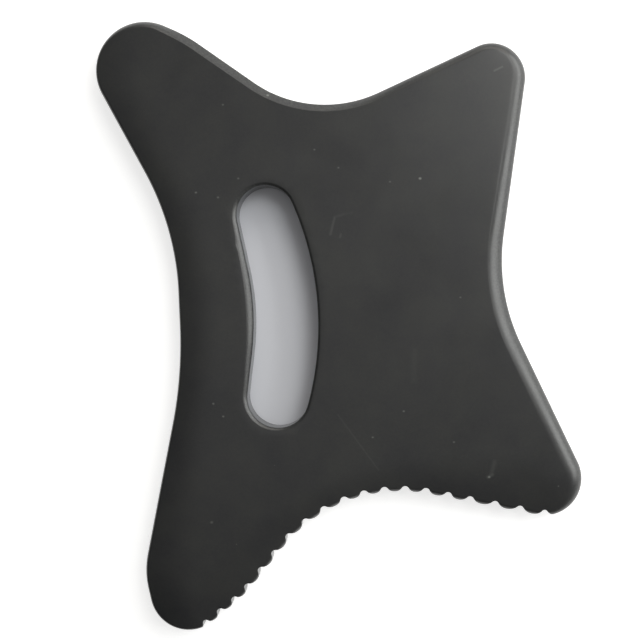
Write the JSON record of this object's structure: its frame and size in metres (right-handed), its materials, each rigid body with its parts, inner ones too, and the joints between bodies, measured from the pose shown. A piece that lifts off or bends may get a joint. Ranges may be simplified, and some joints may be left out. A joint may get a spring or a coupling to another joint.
{
  "type": "gua sha scraper",
  "caption": "Flat black stone gua sha scraper with rounded horns, hollow sides, a curved finger slot and a serrated edge.",
  "frame": {"origin": "middle of the board's footprint, on the surface that it lies on", "axes": "+Y along the board's length, away from the serrated edge; +Z out of the face; the finger slot is on the -X side"},
  "size_m": [0.127, 0.1602, 0.008],
  "materials": {
    "stone": "honed"
  },
  "bodies": {
    "root": {"scraper_board": "stone"}
  },
  "joints": []
}
